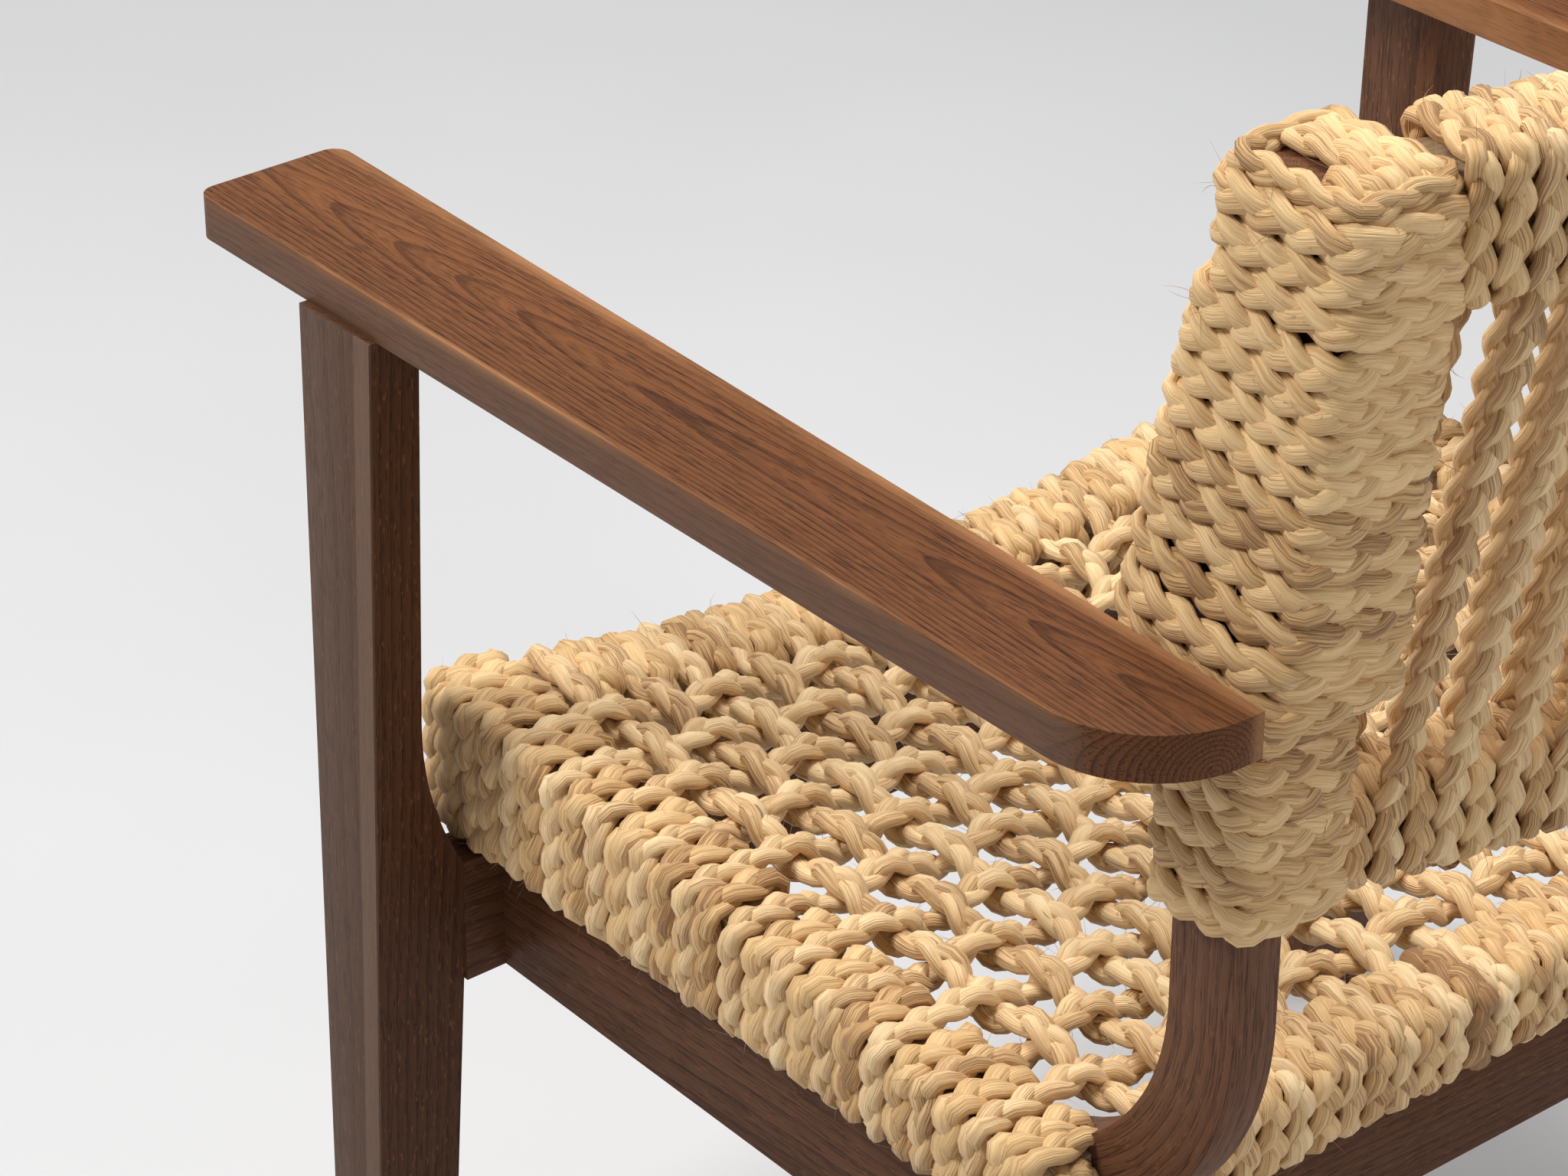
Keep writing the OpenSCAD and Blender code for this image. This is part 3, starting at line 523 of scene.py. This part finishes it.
# %% [markdown]
# ## The woven seat
# The seat is plain weave. A cord that crosses from side to side goes over one lengthwise cord and under the
# next, so its height is a cosine with one half wave per cord. The lengthwise cords do the opposite. Both
# kinds end as a turn round a board, which is what holds a rope seat tight.


# %% cords across
# how far a cord rises over and dips under its neighbours
SWELL = 0.0052
CORD_W, CORD_T = 0.0136, 0.0104


def across_cord(j):
    y = middle_y + j * PITCH
    top, low = side_top(y) + H, side_lo[2] - H
    x0, x1 = side_lo[0] - H, side_hi[0] + H
    lead = [(x0, top - 0.016), (x0, low), (x1, low), (x1, top), (x0 + 0.008, top)]
    xs = np.linspace(0.202, -0.202, 160)
    zs = weave(xs, y) + SWELL * (-1) ** j * np.cos(math.pi * xs / PITCH)
    points = [(x, y, z) for x, z in lead]
    points += [(x, y + 0.0006 * math.sin(40 * x + j), z) for x, z in zip(xs, zs)]
    points += [(-x, y, z) for x, z in reversed(lead)]
    return plait(points, (0, 1, 0), CORD_W, CORD_T, closed=False, corner=4)


across_count = int((open_rear - open_front - 0.013) / PITCH) + 1
half = across_count // 2
rope_piece("seat_weave_across", [across_cord(j) for j in range(-half, half + 1)], ["seat_cords_across"],
           crossing)

# %% cords lengthwise
# the cords draw together towards the rear board, which is shorter
REAR_CLOSE = (rear_hi[0] - 0.0072) / (7 * PITCH)


def lengthwise_cord(i):
    x = i * PITCH
    top, low = front_top(x) + H, front_lo[2] - H
    y0, y1 = front_lo[1] - H, front_hi[1] + H
    rear_x = x * REAR_CLOSE
    points = [(x, y1, top - 0.016), (x, y1, low), (x, y0, low), (x, y0, top), (x, y1 - 0.008, top)]
    ys = np.linspace(open_front - 0.004, open_rear + 0.004, 130)
    share = (ys - ys[0]) / (ys[-1] - ys[0])
    xs = x + (rear_x - x) * share
    zs = weave(xs, ys) - SWELL * (-1) ** i * np.cos(math.pi * (ys - middle_y) / PITCH)
    points += list(zip(xs, ys, zs))
    back, r0, r1 = rear_hi[2] + H, rear_lo[1] - H, rear_hi[1] + H
    points += [(rear_x, r0 + 0.008, back), (rear_x, r1, back), (rear_x, r1, low), (rear_x, r0, low),
               (rear_x, r0, back - 0.016)]
    return plait(points, (1, 0, 0), CORD_W, CORD_T, closed=False, corner=4)


rope_piece("seat_weave_lengthwise", [lengthwise_cord(i) for i in range(-7, 8)], ["seat_cords_lengthwise"],
           crossing)

# %% [markdown]
# ## The front and rear boards
# Between two lengthwise cords sits one closed turn. The front board is hollowed in the middle, so the
# turns there get shorter towards the middle of the seat.


# %% turns on the front and rear boards
def board_turn(x, lo, hi, top):
    y0, y1, z0, z1 = lo[1] - H, hi[1] + H, lo[2] - H, top + H
    return [(x, y0, z0), (x, y0, z1), (x, y1, z1), (x, y1, z0)]


between_cords = [k * PITCH / 2 for k in range(-13, 14, 2)]
front_turns = [plait(board_turn(x, front_lo, front_hi, front_top(x)), (1, 0, 0), SEAT_W, 2 * H)
               for x in between_cords]
rope_piece("seat_rope_front", front_turns, ["seat_wrap_front"], wrapped)
rear_turns = [plait(board_turn(x * REAR_CLOSE, rear_lo, rear_hi, rear_hi[2]), (1, 0, 0), SEAT_W, 2 * H)
              for x in between_cords]
rope_piece("seat_rope_rear", rear_turns, ["seat_wrap_rear"], wrapped)

# %% [markdown]
# ## The back
# Both rails of the back are bowed. One rope goes over the top rail, down to the bottom rail, under it and
# up again, which gives a cord in front and a cord behind. Between two such loops each rail has a turn of
# its own. A point on a rail is given by its angle on the bow, its distance from the rail's middle line and
# its height.

# %% loops and turns of the back
stile_lo, _ = corners("back_stile_left")
top_lo, top_hi = corners("back_top_rail")
low_lo, low_hi = corners("back_bottom_rail")
# depth of the two rails and how far they bow
TOP_D, LOW_D, BOW = 0.032, 0.024, 0.030
# half the back rope's thickness
B = 0.0046
bow_r = (stile_lo[0] ** 2 + BOW ** 2) / (2 * BOW)
top_mid, low_mid = top_hi[1] - TOP_D / 2 - bow_r, low_hi[1] - LOW_D / 2 - bow_r
# half the distance between neighbouring loops
STEP = 0.012


def on_bow(centre, angle, out, z):
    return ((bow_r + out) * math.sin(angle), centre + (bow_r + out) * math.cos(angle), z)


def rail_turn(k, centre, depth, lo, hi):
    a, d = k * STEP / bow_r, depth / 2 + B
    return [on_bow(centre, a, -d, lo[2] - B), on_bow(centre, a, -d, hi[2] + B),
            on_bow(centre, a, d, hi[2] + B), on_bow(centre, a, d, lo[2] - B)]


# how far the rope stands off the top rail
PLUMP = 0.004


def tall_loop(k):
    a, t_out, l_out = k * STEP / bow_r, TOP_D / 2 + B, LOW_D / 2 + B
    crest = top_hi[2] + B + PLUMP
    return [on_bow(top_mid, a, -t_out, crest), on_bow(top_mid, a, t_out, crest),
            on_bow(top_mid, a, t_out, top_lo[2] + 0.004), on_bow(low_mid, a, l_out, low_hi[2]),
            on_bow(low_mid, a, l_out, low_lo[2] - B), on_bow(low_mid, a, -l_out, low_lo[2] - B),
            on_bow(low_mid, a, -l_out, low_hi[2]), on_bow(top_mid, a, -t_out, top_lo[2] + 0.004)]


def strap(k):
    a, d = k * STEP / bow_r, LOW_D / 2
    return [on_bow(low_mid, a, -d - B, low_hi[2] - 0.006), on_bow(low_mid, a, -d - B, low_hi[2] + B),
            on_bow(low_mid, a, d + B, low_hi[2] + B), on_bow(low_mid, a, d + B, low_hi[2] - 0.006)]


def along_bow(k):
    a = k * STEP / bow_r
    return (math.cos(a), -math.sin(a), 0)


tall = [k for k in range(-12, 13) if k % 2 == 0]
single = [k for k in range(-14, 15) if k not in tall]
loops = [plait(tall_loop(k), along_bow(k), 0.0134, 2 * B + 0.0010) for k in tall]
rope_piece("back_cord_loops", loops, ["back_cords_front", "back_cords_rear"], crossing)
turns = [plait(rail_turn(k, top_mid, TOP_D, top_lo, top_hi + PLUMP), along_bow(k), 0.0134, 2 * B + 0.0004)
         for k in single]
rope_piece("back_rope_top", turns, ["back_wrap_top"], wrapped)
turns = [plait(rail_turn(k, low_mid, LOW_D, low_lo, low_hi), along_bow(k), 0.0130, 2 * B) for k in single]
turns += [plait(strap(k), along_bow(k), 0.0122, 2 * B, closed=False, corner=3) for k in tall]
rope_piece("back_rope_bottom", turns, ["back_wrap_bottom"], wrapped)

# %% [markdown]
# ## The posts
# A post is an upright and a stile side by side, wound as one. The turns lean: they run down towards the
# rear on the outer face. Above the armrest the post is wide at the bottom and narrow at the top, so each
# turn reads its front and rear from the two edges of the post.

# %% posts
upper_lo, upper_hi = corners("back_wrap_upper_left")
lower_lo, lower_hi = corners("back_wrap_lower_left")
cap_lo, cap_hi = corners("post_cap_left")
post_x = (stile_lo[0], float(upright_box[1][0]))
head = (cap_lo[1] + 2 * B - 0.0002, cap_hi[1] - 2 * B + 0.0002)
foot_front, foot_rear = upper_lo[1] + 2 * B, head[1] - 0.015
neck_front = head[0] - 0.008
straight = (lower_lo[1] + 2 * B, lower_hi[1] - 2 * B)
# the lowest turns are pushed out over the armrest's tongue, and all of them stand a little off the corners
TONGUE_PUSH = 0.0080
ROUND = 0.0012


def post_edges(z):
    up_neck = (z - upper_lo[2]) / (upper_hi[2] - upper_lo[2])
    up_head = (z - upper_lo[2]) / (cap_hi[2] - upper_lo[2])
    return foot_front + (neck_front - foot_front) * up_neck, foot_rear + (head[1] - foot_rear) * up_head


def post_turn(s, z, y0, y1, lean, grow=B + ROUND, x=post_x):
    a, b = x[0] - grow, x[1] + grow
    front, rear = y0 - grow, y1 + grow
    up, down = z + lean / 2, z - lean / 2
    return [(s * a, front, up), (s * b, front, up), (s * b, rear, down), (s * a, rear, down)]


for s, hand in ((1, "left"), (-1, "right")):
    rows = 10
    pitch = (upper_hi[2] - upper_lo[2]) / rows
    turns = []
    for i in range(rows):
        z = upper_lo[2] + (i + 0.5) * pitch
        y0, y1 = post_edges(z + 0.004)[0], post_edges(z - 0.004)[1]
        loop = post_turn(s, z + dice.normal(0, 0.0004), y0, y1, 0.010 - 0.0004 * i)
        pushed = s * (post_x[1] + B + ROUND + TONGUE_PUSH * math.exp(-max(0, i - 1) / 1.3))
        loop[2:2] = [(pushed, y0 + 0.012, z + 0.002), (pushed, y1 - 0.012, z - 0.003)]
        turns.append(plait(loop, (0, 0, 1), pitch + 0.0032, 2 * B + 0.0008, corner=8))
    rope_piece(f"post_rope_upper_{hand}", turns, [f"back_wrap_upper_{hand}"], wrapped)

    rows = 6
    pitch = (lower_hi[2] - lower_lo[2]) / rows
    turns = []
    for i in range(rows):
        z = lower_lo[2] + (i + 0.5) * pitch
        loop = post_turn(s, z + dice.normal(0, 0.0004), *straight, 0.0015 * i - 0.001)
        turns.append(plait(loop, (0, 0, 1), pitch + 0.0028, 2 * B + 0.0008, corner=8))
    rope_piece(f"post_rope_lower_{hand}", turns, [f"back_wrap_lower_{hand}"], wrapped)

# %% [markdown]
# ## The caps
# A cap closes the top of a post. Three turns go round it, a narrower one makes a rim, and short lengths
# of rope lie over the wood with their ends tucked inside the rim. The outermost length stops half way,
# which leaves the small dark slot that such a cap has.

# %% caps
for s, hand in ((1, "left"), (-1, "right")):
    heights = [cap_lo[2] + 0.0075 + 0.0140 * i for i in range(3)]
    turns = [plait(post_turn(s, z, *head, 0.001), (0, 0, 1), 0.0172, 2 * B + 0.0006, corner=8) for z in heights]
    rim = post_turn(s, cap_hi[2] - 0.0080, *head, 0.0012, grow=0.0022)
    turns.append(plait(rim, (0, 0, 1), 0.0120, 0.0088))
    crown = cap_hi[2] - B - 0.0006
    for inwards, late in ((0.0055, 0.0), (0.0180, 0.0), (0.0305, 0.030)):
        x, y0 = post_x[0] + inwards, head[0] + late
        line = [(s * x, y0 - 0.001, crown - 0.010), (s * x, y0 + 0.002, crown), (s * x, head[1] - 0.002, crown),
                (s * x, head[1] + 0.001, crown - 0.010)]
        turns.append(plait(line, (1, 0, 0), 0.0134, 2 * B, closed=False, corner=3))
    rope_piece(f"post_cap_rope_{hand}", turns, [f"post_cap_{hand}"], wrapped)

# %% [markdown]
# ## Loose fibres
# Straw is never tidy. Thin hairs stand off the rope everywhere, most of them lying nearly along a strand.
# Each hair is a thin three-sided tube in three lengths, curled a little at its end.

# %% fibres
strands = [s for p in all_plaits for s in p]
weights = np.array([len(s[0]) for s in strands], float)
count = 9000
picks = dice.choice(len(strands), count, p=weights / weights.sum())
spots, ways, outs = [], [], []
for i in picks:
    shell = strands[i][0]
    row, k = dice.integers(1, len(shell) - 2), dice.integers(0, SIDES)
    spots.append(shell[row, k])
    ways.append((shell[row + 1, k] - shell[row, k]) * dice.choice((-1, 1)))
    outs.append(shell[row, k] - shell[row].mean(0))
spots, ways, outs = np.array(spots), unit(np.array(ways)), unit(np.array(outs))
reach = dice.uniform(0.004, 0.013, count)[:, None]
lift = dice.uniform(0.05, 0.45, count)[:, None]
aside = unit(dice.normal(size=(count, 3)))
along = unit(ways + lift * outs + 0.25 * aside)
bend = 0.35 * reach * aside
line = [spots + along * reach * f + bend * f * f for f in (0.0, 0.33, 0.67, 1.0)]
thin = 0.00011 * dice.uniform(0.7, 1.3, count)[:, None]
one = unit(np.cross(along, aside))
two = np.cross(along, one)
rings = []
for f, p in zip((1.0, 0.9, 0.7, 0.2), line):
    for a in (0, 2 * math.pi / 3, 4 * math.pi / 3):
        rings.append(p + thin * f * (one * math.cos(a) + two * math.sin(a)))
verts = np.stack(rings, 1).reshape(-1, 3)
pattern = [(3 * r + a, 3 * r + (a + 1) % 3, 3 * r + 3 + (a + 1) % 3, 3 * r + 3 + a)
           for r in range(3) for a in range(3)]
faces = (np.array(pattern)[None] + 12 * np.arange(count)[:, None, None]).reshape(-1, 4)
mesh = bpy.data.meshes.new("rope_fibres")
mesh.from_pydata(verts, [], faces.tolist())
mesh.uv_layers.new(name="straw")
tone = mesh.attributes.new("tone", "FLOAT", "POINT")
tone.data.foreach_set("value", np.repeat(dice.normal(0.62, 0.15, count), 12).astype(np.float32))
mesh.materials.append(crossing)
fibres = bpy.data.objects.new("rope_fibres", mesh)
bpy.context.collection.objects.link(fibres)
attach(fibres, "root")
print("loose fibres:", count)

# %% [markdown]
# ## Floor and light
# The chair stands on a pale studio floor that curves up behind it. A soft lamp on the armrest's side gives
# the shape, one overhead lights the seat, a third fills the rear and a fourth skims the front. A dim even
# sky keeps the shadows open.

# %% studio
floor_finish, t = material("studio_floor")
spot = add(t, "ShaderNodeTexCoord", out=3)
principled(t, ramp(t, noise(t, spot, 1.5), [(0.3, (0.66, 0.66, 0.665)), (0.7, (0.70, 0.70, 0.705))]), 0.8)
depth, steps = 6.0, 24
profile = [(4.0, 0.0)] + [(-2.4 - 1.4 * math.sin(a), 1.4 - 1.4 * math.cos(a))
                          for a in np.linspace(0, math.pi / 2, steps)] + [(-3.8, 5.0)]
verts = [(x, y, z) for y, z in profile for x in (-depth, depth)]
faces = [(2 * i, 2 * i + 1, 2 * i + 3, 2 * i + 2) for i in range(len(profile) - 1)]
mesh = bpy.data.meshes.new("studio_floor")
mesh.from_pydata(verts, [], faces)
mesh.shade_smooth()
mesh.materials.append(floor_finish)
floor = bpy.data.objects.new("studio_floor", mesh)
bpy.context.collection.objects.link(floor)


def lamp(name, place, target, size, power, colour=(1, 1, 1)):
    data = bpy.data.lights.new(name, "AREA")
    data.shape, data.size, data.energy, data.color = "DISK", size, power, colour
    o = bpy.data.objects.new(name, data)
    o.location = place
    o.rotation_euler = (Vector(target) - Vector(place)).to_track_quat("-Z", "Y").to_euler()
    bpy.context.collection.objects.link(o)


lamp("key", (1.7, -1.0, 2.5), (0.1, 0, 0.5), 0.9, 48, (1.0, 0.98, 0.95))
lamp("overhead", (-0.3, -0.1, 3.0), (0, 0, 0.4), 1.2, 46)
lamp("rear_fill", (-0.6, 2.8, 1.9), (0, 0, 0.5), 1.6, 20, (0.96, 0.98, 1.0))
lamp("front_sheen", (0.3, -2.3, 2.4), (0, 0, 0.5), 1.5, 12)
world = bpy.data.worlds.new("studio")
world.use_nodes = True
world.node_tree.nodes["Background"].inputs["Color"].default_value = (0.95, 0.97, 1.0, 1)
world.node_tree.nodes["Background"].inputs["Strength"].default_value = 0.28
bpy.context.scene.world = world
bpy.context.scene.view_settings.view_transform = "Standard"
print("lamps: 4")
